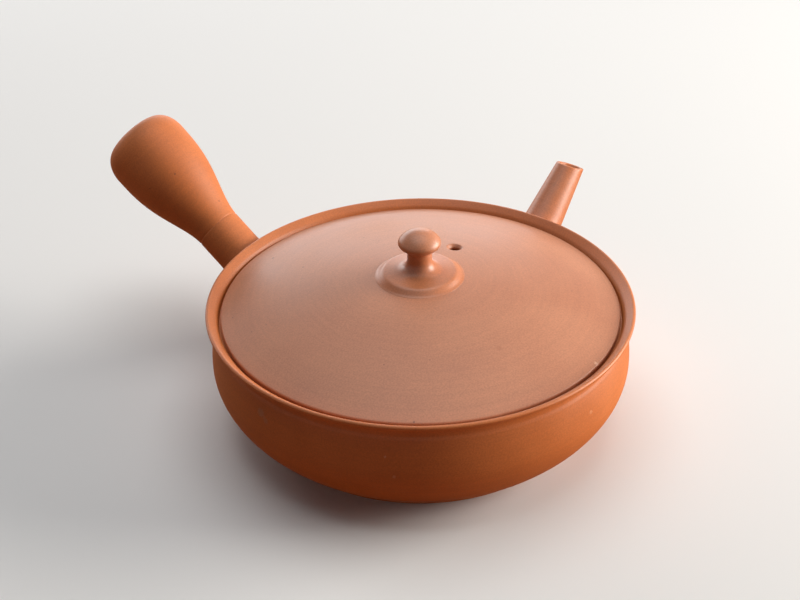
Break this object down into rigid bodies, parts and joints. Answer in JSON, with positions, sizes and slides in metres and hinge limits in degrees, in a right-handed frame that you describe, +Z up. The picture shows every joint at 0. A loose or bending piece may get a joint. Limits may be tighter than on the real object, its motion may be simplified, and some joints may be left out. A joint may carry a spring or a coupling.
{
  "type": "side-handled teapot",
  "caption": "Flat side-handled teapot (kyusu) in unglazed red clay, with a loose domed lid and a pierced clay strainer behind the spout.",
  "frame": {"origin": "middle of the flat base, on the pot's axis", "axes": "+Z up along the pot's axis, +X towards the spout, +Y towards the handle"},
  "size_m": [0.1849, 0.2148, 0.0829],
  "materials": {
    "red_clay": "satin"
  },
  "bodies": {
    "pot": {"pot_body": "red_clay", "spout": "red_clay", "strainer": "red_clay", "handle": "red_clay"},
    "lid": {"lid": "red_clay", "lid_ring": "red_clay", "lid_knob": "red_clay"}
  },
  "joints": [
    {"name": "lid_lift", "type": "slide", "parent": "pot", "child": "lid", "axis": [0, 0, 1], "range_m": [0, 0.06]}
  ]
}
